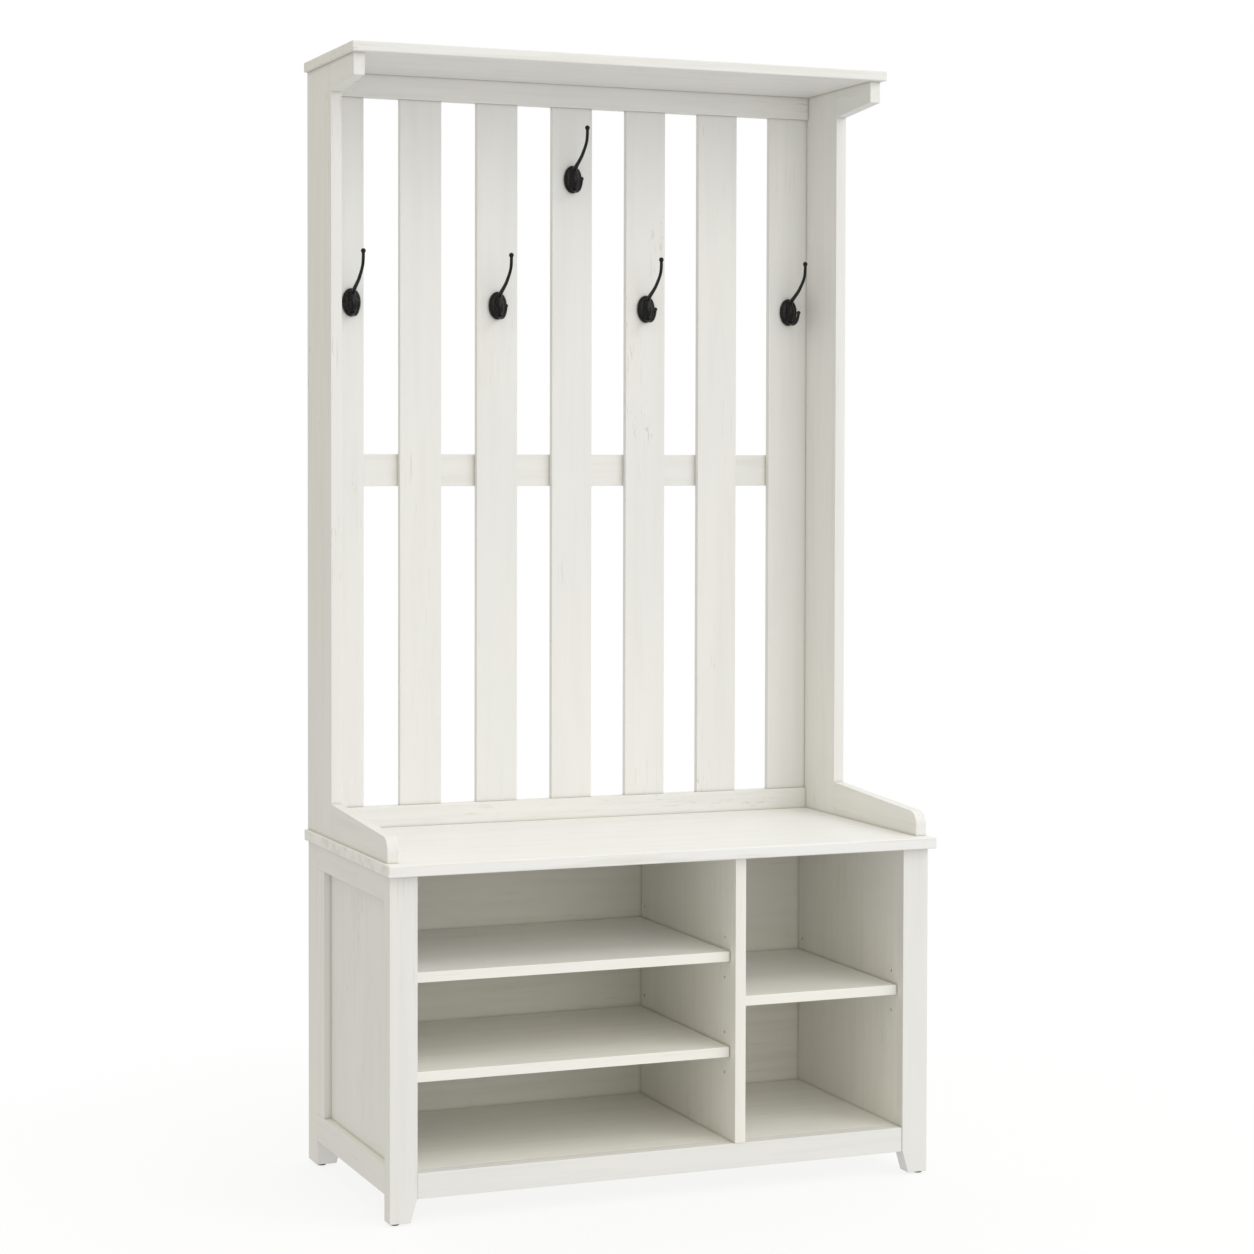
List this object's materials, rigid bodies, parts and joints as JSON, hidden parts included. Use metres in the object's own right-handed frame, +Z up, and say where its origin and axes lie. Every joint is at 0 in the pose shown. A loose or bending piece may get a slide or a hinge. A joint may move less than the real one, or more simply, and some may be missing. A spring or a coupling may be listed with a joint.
{
  "type": "hall tree with hooks",
  "caption": "Free-standing hall tree: shoe bench with open cubbies and lift-off shelves, slatted back with double coat hooks, and a top shelf.",
  "frame": {"origin": "on the floor, under the middle of the bench top (the lowest plane is the underside of the leg glides)", "axes": "+Z up, -Y out of the front of the cubbies and hooks, +X to the right as seen from the front"},
  "size_m": [0.922, 0.466, 1.8],
  "materials": {
    "white_wood": "warm white washed surface with a faint long grain, satin",
    "white_panel": "warm white washed panel with upright grain, satin",
    "back_board": "thin white faced board, matt",
    "black_hook_metal": "black powder coat, semi-gloss",
    "black_screw_steel": "blackened steel",
    "zinc_steel": "bright zinc plated",
    "die_cast_zinc": "plain die-cast zinc",
    "beech_dowel": "bare fluted beech",
    "black_glide_plastic": "matt black"
  },
  "bodies": {
    "frame": {"back_leg_left": "white_wood", "back_leg_right": "white_wood", "back_panel": "back_board", "back_panel_screws": "zinc_steel", "bench_top": "white_wood", "bottom_rail": "white_wood", "bracket_left": "white_wood", "bracket_right": "white_wood", "cam_bolts": "zinc_steel", "cam_locks": "die_cast_zinc", "divider": "white_wood", "ear_left": "white_wood", "ear_right": "white_wood", "floor_board": "white_wood", "frame_screws": "zinc_steel", "front_apron": "white_wood", "front_leg_left": "white_wood", "front_leg_right": "white_wood", "hook_centre_left": "black_hook_metal", "hook_centre_right": "black_hook_metal", "hook_far_left": "black_hook_metal", "hook_far_right": "black_hook_metal", "hook_screws": "black_screw_steel", "hook_top": "black_hook_metal", "leg_glides": "black_glide_plastic", "mid_rail": "white_wood", "shelf_pins": "zinc_steel", "side_bottom_rail_left": "white_wood", "side_bottom_rail_right": "white_wood", "side_liner_left": "white_wood", "side_liner_right": "white_wood", "side_panel_left": "white_panel", "side_panel_right": "white_panel", "side_stile_left": "white_wood", "side_stile_right": "white_wood", "side_top_rail_left": "white_wood", "side_top_rail_right": "white_wood", "slat_1": "white_wood", "slat_2": "white_wood", "slat_3": "white_wood", "slat_4": "white_wood", "slat_5": "white_wood", "slat_6": "white_wood", "slat_7": "white_wood", "slat_screws": "zinc_steel", "slim_dowels": "beech_dowel", "top_rail": "white_wood", "top_shelf": "white_wood", "upright_left": "white_wood", "upright_right": "white_wood", "wood_dowels": "beech_dowel"},
    "left_lower_shelf": {"shelf_left_lower": "white_wood"},
    "left_upper_shelf": {"shelf_left_upper": "white_wood"},
    "right_shelf": {"shelf_right": "white_wood"}
  },
  "joints": [
    {"name": "left_lower_shelf_lift", "type": "slide", "parent": "frame", "child": "left_lower_shelf", "axis": [0, 0, 1], "range_m": [0, 0.032]},
    {"name": "left_upper_shelf_lift", "type": "slide", "parent": "frame", "child": "left_upper_shelf", "axis": [0, 0, 1], "range_m": [0, 0.032]},
    {"name": "right_shelf_lift", "type": "slide", "parent": "frame", "child": "right_shelf", "axis": [0, 0, 1], "range_m": [0, 0.032]}
  ]
}
